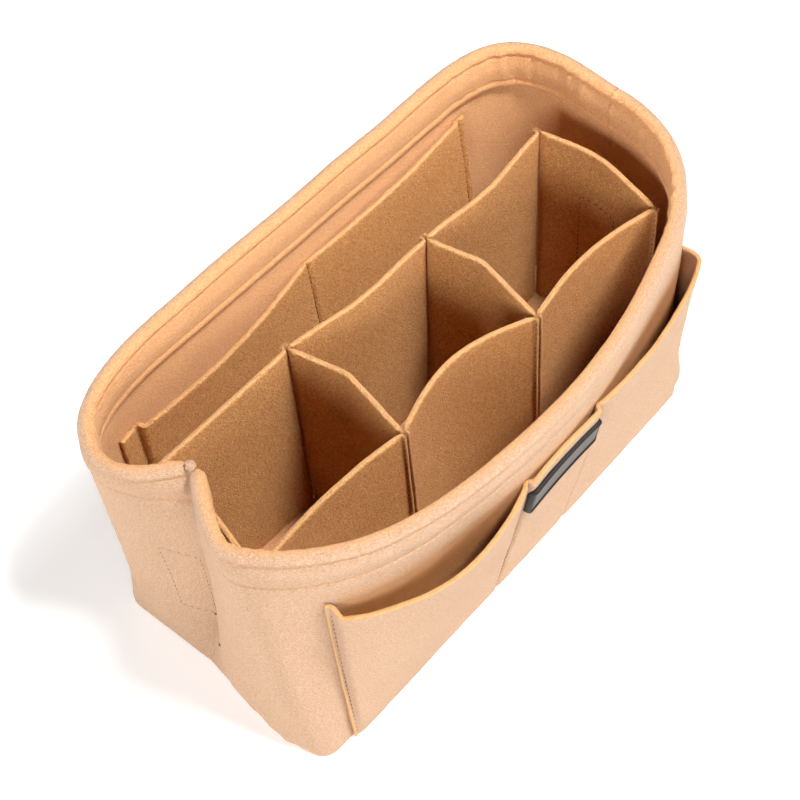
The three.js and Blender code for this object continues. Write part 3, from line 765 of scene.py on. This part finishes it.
def make_shell_half(name, wall, replaced):
    section = shell_section()
    rows = len(section)
    column = np.tile(np.arange(float(COLUMNS)), (rows, 1))
    depth, z, cut = (np.repeat(part[:, None], COLUMNS, axis=1) for part in section.T)
    # Painted shadow in the stitch grooves of the outer and inner faces.
    cut = cut - GROOVE_PAINTED_SHADE * groove(z) * ((depth < OUTER_FACE) | (depth > HEM_FACE))
    crest = section[:, 1].argmax()
    over = np.arange(rows)[:, None] > crest
    # Painted bounce light on the lining: the inside faces and the inner half of the roll take the warm tint.
    painted_bounce = np.where(over & (depth < HEM_FACE), 1, smooth((depth - 1) / 4)) * (z > 1)
    # Painted shade on the wall in the gap behind the outer pocket, deepening below its mouth.
    if wall is front:
        x = wall.at(column, z, depth)[..., 0]
        behind = (x > POCKET_STITCHES[0] + 4) & (x < POCKET_STITCHES[3]) & ~over
        cut = cut - POCKET_PAINTED_SHADE * behind * smooth((POCKET_TOP + PAINTED_SHADE_START - z) / PAINTED_SHADE_DEPTH)
    depth = depth - shell_relief(wall, column, depth, z)
    to_tip = (column if wall.side < 0 else COLUMNS - 1 - column) * wall.length / COLUMNS
    fullness = np.sqrt(1 - (1 - np.minimum(to_tip / TIP_ROUND, 1)) ** 2)
    near_rim = smooth((z - 112) / 12)
    depth = SHELL_FELT + (depth - SHELL_FELT) * lerp(1, lerp(TIP_PINCH, 1, fullness), near_rim)
    points = wall.at(column, z, depth)
    seam, beside = (-1, -2) if wall.side < 0 else (0, 1)
    points[:, seam] += SEAM_OVERLAP * unit(points[:, seam] - points[:, beside])
    sag = RIM_WAVE * grain(points * (1, 1, 0), RIM_WAVE_SIZE, RELIEF_SEED + 5) - TIP_SAG * (1 - fullness)
    points[..., 2] += sag * smooth((z - 100) / 30)
    felt = Felt()
    faces = grid_faces(rows, COLUMNS, close_rows=True, flip=True)
    faces.append([i * COLUMNS for i in range(rows)])
    faces.append([i * COLUMNS + COLUMNS - 1 for i in range(rows)][::-1])
    run = along(section[:, :2])
    start = front.length if wall.side > 0 else 0.0
    ahead = start + column * wall.length / (COLUMNS - 1)
    place = np.stack(np.broadcast_arrays(ahead, run[:, None], 0.0), axis=-1)
    felt.add(points, faces, place, cut, painted_bounce)
    edge = section[:, 2].argmax()
    picks = [rng.randrange(COLUMNS) for _ in range(RIM_HAIRS)]
    bases = [points[crest + rng.randrange(-3, 6), j] for j in picks]
    ways = [unit(loose(0.2)) for _ in picks]
    add_fuzz(felt, bases, ways, SHELL_HAIR)
    picks = [rng.randrange(COLUMNS) for _ in range(HEM_HAIRS)]
    outward = wall.normal(np.array(picks), HEIGHT - HEM_DEPTH)
    ways = [unit((0, 0, -1.0) - n * rng.uniform(0, 1.2)) for n in outward]
    add_fuzz(felt, [points[edge + 1, j] for j in picks], ways, SHELL_HAIR)
    obj = felt.build(name, shell_felt, "shell_felt", "shell", [replaced])
    for face in obj.data.polygons:
        face.use_smooth = len(face.vertices) < rows


make_shell_half("shell_front", front, "front_shell")
make_shell_half("shell_back", back, "back_shell")


def wall_stitch(felt, wall, columns, heights, depth, inward, radius=THREAD_RADIUS, sink=STITCH_SINK):
    line = wall.at(columns, heights, depth)
    facing = wall.normal(columns, heights) * (-1 if inward else 1)
    add_stitches(felt, line, facing, radius, sink)


def shell_stitch(felt, wall, columns, heights, face, radius):
    """Stitches on a face of a shell half, following its relief."""
    depth = face - shell_relief(wall, columns, face, heights)
    wall_stitch(felt, wall, columns, heights, depth, inward=face > 0, radius=radius)


rim_thread = Felt()
for wall in (front, back):
    span = np.linspace(1.5, COLUMNS - 2.5, 400)
    for height in (UPPER_STITCH, LOWER_STITCH):
        for face in (0.0, 2 * SHELL_FELT):
            shell_stitch(rim_thread, wall, span, height, face, RIM_THREAD)
rim_thread.build("rim_stitching", thread, "shell_felt", "shell")

# The loop patch's stitching shows on the outside of the folded left end.
box_thread = Felt()
box = [(float(back.columns(1, [y], [z])[0, 0]), z) for y, z in BOX_CORNERS]
for (c0, z0), (c1, z1) in zip(box, box[1:]):
    shell_stitch(box_thread, back, np.linspace(c0, c1, 60), np.linspace(z0, z1, 60), 0.0, BOX_THREAD)
knot = box[2][0]
for wall, first, last, low, high in ((back, knot - 1, knot + 0.6, 29.5, 31.5), (front, 6.5, 8.0, 27.0, 28.5)):
    shell_stitch(box_thread, wall, np.linspace(first, last, 9), np.linspace(low, high, 9), 0.0, KNOT_THREAD)
box_thread.build("loop_patch_stitching", brown_thread, "shell_felt", "shell")


def make_floor_panel():
    """Felt floor inside the foot of the walls."""
    columns = np.arange(COLUMNS - 1)
    outline = np.concatenate([wall.at(columns, 0.0, FLOOR_REACH)[:, :2] for wall in (front, back)])
    middle = outline.mean(axis=0)
    section = [(share, SHELL_FELT) for share in (0.02, 0.15, 0.3, 0.45, 0.6, 0.72, 0.82, 0.9, 0.96)]
    section += [(0.99, 2.9), (1.0, 2.4), (1.0, 0.6), (0.99, 0.1)]
    section += [(share, 0.0) for share in (0.96, 0.8, 0.5, 0.2, 0.02)]
    loops = []
    for share, level in section:
        loop = np.column_stack([middle + (outline - middle) * share, np.full(len(outline), level)])
        loop[:, 2] += 0.25 * grain(loop, 22, 3) * (level > SHELL_FELT / 2)
        loops.append(loop)
    points = np.array(loops)
    points[..., 2] = np.maximum(points[..., 2], 0)
    felt = Felt()
    faces = [face[::-1] for face in tube_faces(len(loops), len(outline))]
    # The floor panel takes the lining's painted bounce light all over.
    felt.add(points, faces, points, 0, 1)
    obj = felt.build("floor_panel", shell_felt, "shell_felt", "shell", ["base_panel"])


make_floor_panel()


def make_welt():
    """Turned-in seam allowances that fill the fold of the left end, with a tuft at their top."""
    heights = np.linspace(FOLD_APEX, HEIGHT - 0.5, 60)
    loops = []
    for z in heights:
        f0, f1 = front.at(0, z, 0.8), front.at(0, z, 3.0)
        b0, b1 = back.at(COLUMNS - 1, z, 0.8), back.at(COLUMNS - 1, z, 3.0)
        inner = (f1 + b1) / 2 + (0.9, 0, 0)
        loops.append([f0, lerp(f0, f1, 0.5), f1, inner, b1, lerp(b1, b0, 0.5), b0])
    points = np.array(loops)
    points[..., 0] += 0.25 * grain(points, 4, 5)
    felt = Felt()
    felt.add(points, tube_faces(*points.shape[:2]), points, 0.3)
    tip = points[-1].mean(axis=0)
    ways = [unit(loose(-0.2)) for _ in range(TUFT_HAIRS)]
    add_fuzz(felt, [tip + way * rng.uniform(0.6, 1.4) for way in ways], ways, TUFT_HAIR, cut=0.0)
    turns = np.linspace(0, 2 * math.pi, TUFT_SIDES + 1)[:-1]
    around, upward = np.meshgrid(turns, np.linspace(-1.4, 1.4, TUFT_RINGS))
    level = np.cos(upward)
    ball = np.stack([np.cos(around) * level, np.sin(around) * level, np.sin(upward)], axis=-1)
    ball = tip + ball * TUFT_SIZE * (1 + 0.3 * grain(ball * 4, 2, 8))[..., None]
    felt.add(ball, tube_faces(TUFT_RINGS, TUFT_SIDES), ball, 0)
    felt.build("seam_welt", shell_felt, "shell_felt", "shell", ["left_seam_welt"])


make_welt()


# Pockets


def humps(x, stitches, bulges, rises, falls):
    total = np.zeros_like(x)
    for i, bulge in enumerate(bulges):
        t = np.clip((x - stitches[i]) / (stitches[i + 1] - stitches[i]), 0, 1)
        rise = np.sin(math.pi / 2 * np.minimum(1, t / rises[i]))
        fall = np.sin(math.pi / 2 * np.minimum(1, (1 - t) / falls[i]))
        total += bulge * rise * fall
    return total


def stitched(x, stitches, width):
    return np.clip(sum(bell(x, s, width) for s in stitches), 0, 1)


flange_line = POCKET_STITCHES[0] + FLANGE_WIDTH / 2 + 0.2


def pocket_standoff(x, z):
    """How far the inner face of the outer pocket strip stands off the wall."""
    rise = np.clip((z - POCKET_FOOT) / (POCKET_TOP - POCKET_FOOT), 0, 1.05)
    hump = humps(x, POCKET_STITCHES, POCKET_BULGES, POCKET_RISES, POCKET_FALLS)
    from_flange = x - POCKET_STITCHES[0] - FLANGE_WIDTH
    pleat = PLEAT_STEP * smooth(from_flange / 1.6) * (1 - smooth(from_flange / 26))
    flat = smooth((x - POCKET_STITCHES[0] - 0.6 * FLANGE_WIDTH) / 2.0)
    across = (x - sum(POCKET_STITCHES[1:3]) / 2) / (POCKET_STITCHES[2] - POCKET_STITCHES[1]) * 2
    lift = CENTRE_LIFT * across ** 2 * (np.abs(across) < 1)
    tuck = END_TUCK * smooth((x - POCKET_STITCHES[3] + 2.5) / 2.5)
    pinch = 1 - stitched(x, POCKET_STITCHES[1:3], 1.5)
    return (POCKET_EASE + (hump * flat + lift) * rise) * pinch + pleat * np.sqrt(np.maximum(rise, 0)) - tuck


def pocket_thickness(x):
    thin = stitched(x, (flange_line,), 0.9) + stitched(x, POCKET_STITCHES[1:3], 1.6)
    return lerp(POCKET_FELT, STITCHED_FELT, np.clip(thin, 0, 1))


def pocket_face(x, z):
    return pocket_standoff(x, z) + pocket_thickness(x)


def felt_strip(wall, x, low, high, rows, thickness, stand, seed, fuzz):
    """Felt strip on a wall, from the low height to the high one of each x, whose near face stands at
    stand(x, z) from the wall's outer face, and its length below the mouth."""
    z = low + (rows / rows[-1])[:, None] * (high - low)
    column = np.stack([wall.columns(0, [a], z[:, j])[:, 0] for j, a in enumerate(x)], axis=1)
    middle = wall.at(column, z, wall.side * (stand(x, z) + thickness / 2))
    across = along(middle[-8])
    return felt_sheet(middle, thickness, across, rows, seed, relief=0.35, fuzz=fuzz), across[-1]


def stitch_strip(felt, wall, line, low, high, stand, sink):
    """Stitches up a strip at one x, on the face that stands at stand(x, z)."""
    heights = np.linspace(low + 2, high - 1.5, 90)
    columns = wall.columns(0, [line], heights)[:, 0]
    depth = wall.side * stand(line, heights)
    wall_stitch(felt, wall, columns, heights, depth, inward=wall.side > 0, sink=sink)


def make_outer_pocket():
    length = POCKET_STITCHES[-1] - POCKET_STITCHES[0]
    x = np.unique(np.concatenate([spaced(length, 1.4) + POCKET_STITCHES[0],
                                  np.arange(POCKET_STITCHES[0] + 1, POCKET_STITCHES[0] + 9, 0.35),
                                  np.arange(-25, -19, 0.4), np.arange(19.5, 25.6, 0.4)]))
    top = POCKET_TOP + FLANGE_RISE * (1 - smooth((x - POCKET_STITCHES[0] - 0.8) / 4.4))
    height = POCKET_TOP - POCKET_FOOT
    rows = spaced(height, 1.9)
    felt, length = felt_strip(front, x, POCKET_FOOT, top, rows, pocket_thickness(x), pocket_standoff, 4, 2.0)
    obj = felt.build("pocket_row", shell_felt, "shell_felt", "shell", ["outer_pocket"])
    threads = Felt()
    for line in (flange_line, *POCKET_STITCHES[1:3]):
        stitch_strip(threads, front, line, POCKET_FOOT, POCKET_TOP, pocket_face, 0.12)
    threads.build("pocket_stitching", dark_thread, "shell_felt", "shell")


make_outer_pocket()


def make_label():
    """Plain leather patch with a rolled border, on the middle of the outer pocket."""
    length, height, corner = LABEL_LENGTH, LABEL_HEIGHT, LABEL_CORNER
    grid_u, grid_v = np.meshgrid(spaced(length, LABEL_STEP), spaced(height, LABEL_STEP))
    du = np.minimum(grid_u, length - grid_u)
    dv = np.minimum(grid_v, height - grid_v)
    over_u, over_v = corner - du, corner - dv
    near = (over_u > 0) & (over_v > 0)
    over = np.maximum(over_u, over_v)
    pull = np.maximum(over, 1e-6) / np.maximum(np.hypot(over_u, over_v), 1e-6)
    in_u, in_v = (np.where(near, corner - a * pull, corner - a) for a in (over_u, over_v))
    flat_u = np.where(grid_u < length / 2, in_u, length - in_u)
    flat_v = np.where(grid_v < height / 2, in_v, height - in_v)
    inset = np.where(near, corner - over, np.minimum(du, dv))
    thin_side = (grid_u > length - grid_v * length / height) & (du < dv)
    border = np.where(thin_side | (grid_v < height / 2) & (dv <= du), LABEL_BORDER / 2, LABEL_BORDER)
    roll = LABEL_ROLL * np.sin(math.pi * np.clip(inset / border, 0, 1)) ** 0.8
    roll *= inset < border
    lip = LABEL_LIP * (1 - np.sqrt(1 - (1 - np.minimum(inset / LABEL_LIP_WIDTH, 1)) ** 2))
    face = LABEL_THICKNESS + roll - lip - LABEL_GROOVE * bell(inset, border, LABEL_GROOVE_WIDTH)
    x = LABEL_MIDDLE[0] - length / 2 + flat_u
    reach = height * lerp(1, LABEL_TAPER, flat_u / length)
    z = LABEL_MIDDLE[1] + height / 2 - (1 - flat_v / height) * reach
    column = np.empty_like(x)
    for index in np.ndindex(x.shape):
        column[index] = front.columns(0, [x[index]], [z[index]])[0, 0]
    back_face = pocket_standoff(x, z) + POCKET_FELT - 0.5
    outer = front.at(column, z, -(back_face + face + 0.4))
    inner = front.at(column, z, -back_face)
    felt = Felt()
    place = np.stack([flat_u, flat_v, np.zeros_like(x)], axis=-1)
    rim = smooth(1 - (inset - border) / 0.5)
    felt.add([outer, inner], slab_faces(*x.shape), [place, place], [rim, rim])
    felt.build("leather_label", leather, "leather", "shell", ["label_patch"])


make_label()


def inner_top(x):
    return lerp(INNER_TOP_LEFT, INNER_TOP_RIGHT, (x - INNER_LEFT) / (INNER_RIGHT - INNER_LEFT))


def inner_depth(x, z):
    """Depth of the inner pocket's back face from the outer face of the back wall."""
    rise = np.clip((z - INNER_FOOT) / (inner_top(x) - INNER_FOOT), 0, 1.05)
    stitches = (INNER_LEFT, INNER_MIDDLE, INNER_RIGHT)
    hump = humps(x, stitches, INNER_BULGES, (0.4, 0.5), (0.6, 0.5))
    from_ends = (x - INNER_LEFT - FLANGE_WIDTH, INNER_RIGHT - FLANGE_WIDTH - x)
    pleat = sum(step * smooth(d / 1.6) * (1 - smooth(d / 30)) for step, d in zip(INNER_PLEATS, from_ends))
    return SHELL_FELT + 0.15 + hump * rise + pleat * np.sqrt(np.maximum(rise, 0))


def inner_face(x, z):
    return inner_depth(x, z) + STITCHED_FELT


def make_inner_pocket():
    first, last = INNER_LEFT - INNER_FLANGES[0], INNER_RIGHT + INNER_FLANGES[1]
    x = np.unique(np.concatenate([spaced(last - first, 1.6) + first,
                                  np.arange(INNER_LEFT - 1, INNER_LEFT + 8, 0.4),
                                  np.arange(INNER_RIGHT - 8, INNER_RIGHT, 0.4),
                                  np.arange(INNER_MIDDLE - 3, INNER_MIDDLE + 3, 0.4)]))
    rows = spaced(INNER_TOP_RIGHT - INNER_FOOT, 2.0)
    lines = (INNER_LEFT + FLANGE_WIDTH / 2, INNER_MIDDLE, INNER_RIGHT - FLANGE_WIDTH / 2)
    thick = lerp(INNER_FELT, STITCHED_FELT, stitched(x, lines, 1.3))
    felt, length = felt_strip(back, x, INNER_FOOT, inner_top(x), rows, thick, inner_depth, 7, 1.5)
    obj = felt.build("inner_pocket_row", inner_felt, "inner_felt", "shell", ["inner_pocket"])
    threads = Felt()
    for line in lines:
        stitch_strip(threads, back, line, INNER_FOOT, inner_top(line), inner_face, STITCH_SINK)
    threads.build("inner_pocket_stitching", dark_thread, "inner_felt", "shell")


make_inner_pocket()


def make_loop_patch(side, wall, from_y):
    """Loop half of a hook-and-loop pair, on the inside of an end wall."""
    across = spaced(PATCH_LENGTH, 1.0)
    up = spaced(PATCH_TOP - PATCH_FOOT, 1.5)
    z = PATCH_FOOT + up
    column = wall.columns(1, from_y + across, z)
    middle = wall.at(column, z[:, None], SHELL_FELT + 0.1 + PATCH_THICKNESS / 2)
    felt = felt_sheet(middle, PATCH_THICKNESS, across, up, 9, relief=0.1)
    felt.build(f"loop_patch_{side}", tape, "hook_loop", "shell", [f"{side}_loop_patch"])


make_loop_patch("left", back, LEFT_PATCH_Y)
make_loop_patch("right", front, RIGHT_PATCH_Y)


# Divider unit


def lean(points):
    """Points of the unit moved with its joints, which lean a little off their places towards the top."""
    points = np.array(points, float)
    x, y, z = np.moveaxis(points, -1, 0)
    to_back = np.clip((y - FRONT_LINE) / (BACK_LINE - FRONT_LINE), 0, 1)
    rise = (z - UNIT_FOOT) / (UNIT_TOP - UNIT_FOOT)
    for k in range(2):
        at_front = np.interp(x, CROSS_X, [shift[k] for shift in FRONT_LEANS])
        at_back = np.interp(x, CROSS_X, [shift[k] for shift in BACK_LEANS])
        points[..., k] += lerp(at_front, at_back, to_back) * rise
    return points


def upright(plan, seed, thickness=INNER_FELT, end=INNER_FELT, low=UNIT_FOOT, high=UNIT_TOP,
            step=1.6, relief=0.3, reach=PINCH_REACH):
    """Felt sheet standing on a plan path, pressed to another thickness at its two stitched ends."""
    across = spaced(along(plan)[-1], step)
    up = spaced(high - low, 1.9)
    middle = np.empty((len(up), len(across), 3))
    middle[..., :2] = resample(plan, across)[None]
    middle[..., 2] = (low + up)[:, None]
    middle = lean(middle)
    middle[..., 2] += 0.4 * grain(middle, 40, seed + 6) * (up / up[-1])[:, None]
    from_end = np.minimum(across, across[-1] - across)
    thick = lerp(end, thickness, smooth((from_end - 0.5) / reach))
    return felt_sheet(middle, thick[None, :], across, up, seed, relief=relief)


def make_panel(cell, end):
    """Wall sheet of a cell, its two ends turned away from the cell as stitched flanges."""
    side, line, bows = (1, BACK_LINE, BACK_BOWS) if end == "back" else (-1, FRONT_LINE, FRONT_BOWS)
    name, body = f"{end}_sheet_{cell + 1}", f"divider_{end}"
    left, right = CROSS_X[cell] + PANEL_INSET, CROSS_X[cell + 1] - PANEL_INSET
    ear = line + side * EAR
    corners = [(left, ear, 0), (left, line, PANEL_ROUND), (right, line, PANEL_ROUND), (right, ear, 0)]
    plan = rounded_path(corners, straight=40)
    share = np.clip((plan[:, 0] - left) / (right - left), 0, 1)
    plan[:, 1] += bows[cell] * np.sin(math.pi * share) ** (2 if side > 0 else 1)
    felt = upright(plan, 20 + cell * 4 + side, end=PINCHED_FELT)
    for x in (left, right):
        tuft = lean((x, line + side * EAR / 2, UNIT_TOP))
        ways = [unit(loose(0)) for _ in range(JOINT_HAIRS)]
        add_fuzz(felt, [tuft + way * (0.8, 1.2, 0.2) for way in ways], ways, JOINT_HAIR)
    obj = felt.build(name, inner_felt, "inner_felt", body, [f"{end}_panel_{cell + 1}"])
    threads = Felt()
    heights = np.linspace(UNIT_FOOT + 2, UNIT_TOP - 1.5, 80)
    for x, out in ((left, 1), (right, -1)):
        spot = (x + out * PINCHED_FELT / 2, line + side * EAR * 0.7)
        points = lean([(*spot, z) for z in heights])
        add_stitches(threads, points, [(out, 0, 0)] * len(heights))
    threads.build(name + "_stitching", dark_thread, "inner_felt", body)


for cell in range(3):
    make_panel(cell, "back")
    make_panel(cell, "front")


def bend_with_cross(obj):
    """Bake the piece's place into its mesh points."""
    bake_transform(obj)


def cross_plan(number):
    x = CROSS_X[number - 1]
    crease = (x + CREASE_OFFSET, CREASE_Y, CREASE_ROUNDS[number - 1])
    back_end, front_end = (x, BACK_LINE + CROSS_TUCK, 0), (x, FRONT_LINE - CROSS_TUCK, 0)
    return rounded_path([back_end, crease, front_end], straight=30)


def make_cross(number):
    """Cross sheet with its vertical crease, in one piece."""
    plan = cross_plan(number)
    felt = upright(plan, 40 + number * 5, end=CROSS_END, step=1.2, reach=CROSS_REACH)
    obj = felt.build(f"cross_sheet_{number}", inner_felt, "inner_felt")
    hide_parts(f"cross_{number}_rear", f"cross_{number}_fore")
    bend_with_cross(obj)


for number in range(1, 5):
    make_cross(number)


def make_hook_patch(side, number, half):
    """Hook half of a hook-and-loop pair, where the CAD has it."""
    replaced = f"{side}_hook_patch"
    low, high = (np.array(p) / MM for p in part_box(replaced))
    crease = np.array((CROSS_X[number - 1] + CREASE_OFFSET, CREASE_Y))
    hinge = np.array((CROSS_X[number - 1], HINGE_BACK if half == "rear" else HINGE_FRONT))
    reach = unit(crease - hinge) * (PATCH_LENGTH / 2)
    middle = (low[:2] + high[:2]) / 2
    plan = np.array([middle - reach, middle + reach])
    felt = upright(plan, 70 + number, PATCH_THICKNESS, PATCH_THICKNESS, PATCH_FOOT, PATCH_TOP, 1.0, 0.05)
    felt.build(f"hook_patch_{side}", tape, "hook_loop", f"cross_{number}_{half}", [replaced])


make_hook_patch("left", 1, "rear")
make_hook_patch("right", 4, "fore")


def make_cross_box():
    """Stitching of the right hook patch, which shows through on the last cross sheet."""
    plan = cross_plan(4)
    threads = Felt()
    for (y0, z0), (y1, z1) in zip(CROSS_BOX, CROSS_BOX[1:]):
        y = np.linspace(y0, y1, 40)
        x = np.interp(-y, -plan[:, 1], plan[:, 0]) - INNER_FELT / 2
        line = lean(np.stack([x, y, np.linspace(z0, z1, 40)], axis=1))
        add_stitches(threads, line, [(-1, 0, 0)] * len(y), radius=CROSS_BOX_THREAD)
    obj = threads.build("hook_patch_stitching", dark_thread, "inner_felt")
    bend_with_cross(obj)


make_cross_box()


# Floor, light and camera


STAGE_REACH, STAGE_STEPS = 8.0, 64


def make_stage():
    spots = np.linspace(-STAGE_REACH, STAGE_REACH, STAGE_STEPS)
    mesh = bpy.data.meshes.new("floor")
    mesh.from_pydata([(x, y, 0) for y in spots for x in spots], [], grid_faces(STAGE_STEPS, STAGE_STEPS))
    mesh.materials.append(floor_material("floor"))
    linked(bpy.data.objects.new("floor", mesh))


LIGHT_DISTANCE = 1.4
LIGHT_TARGET = (0, 0, 0.06)
WORLD_STRENGTH = 0.02
# Name, azimuth and elevation in degrees, size in metres, power in watts
LIGHTS = (
    ("key", 20, 66, 0.3, 20.5),
    ("key_right", 52, 66, 0.4, 7.6),
    ("front", -25, 20, 0.5, 2.8),
    ("front_right", 30, 18, 0.5, 4.4),
    ("left", -75, 20, 0.5, 11.5),
    ("back_left", -150, 12, 0.5, 8.0),
    ("back", 180, 12, 0.5, 3.0),
)


def aim(azimuth, elevation, roll=0.0):
    """Turn that faces the object, from an azimuth in degrees from the front towards +X."""
    turn = Euler((math.radians(90 - elevation), 0, math.radians(azimuth))).to_matrix().to_4x4()
    return turn @ Matrix.Rotation(math.radians(roll), 4, "Z")


make_stage()
for name, azimuth, elevation, size, power in LIGHTS:
    data = bpy.data.lights.new(name, "AREA")
    data.shape = "DISK"
    data.size = size
    data.energy = power
    lamp = linked(bpy.data.objects.new(name, data))
    turn = aim(azimuth, elevation)
    lamp.matrix_world = Matrix.Translation(LIGHT_TARGET) @ turn @ Matrix.Translation((0, 0, LIGHT_DISTANCE))
world = bpy.data.worlds.new("studio")
world.use_nodes = True
feed(world.node_tree.nodes["Background"], {"Color": (1.0, 1.0, 1.0, 1), "Strength": WORLD_STRENGTH})
bpy.context.scene.world = world
bpy.context.scene.view_settings.view_transform = "Standard"

EYE = Vector((-301.1, -294.0, 644.6)) * MM
AZIMUTH, ELEVATION, ROLL = -44.38, 54.18, -4.247
SENSOR = 36.0
FOCAL_SHARE = 1756.7 / 800


def make_camera():
    data = bpy.data.cameras.new("camera")
    data.sensor_width = SENSOR
    data.lens = SENSOR * FOCAL_SHARE
    data.clip_start = 0.01
    camera = linked(bpy.data.objects.new("camera", data))
    camera.matrix_world = Matrix.Translation(EYE) @ aim(AZIMUTH, ELEVATION, ROLL)
    bpy.context.scene.camera = camera


make_camera()
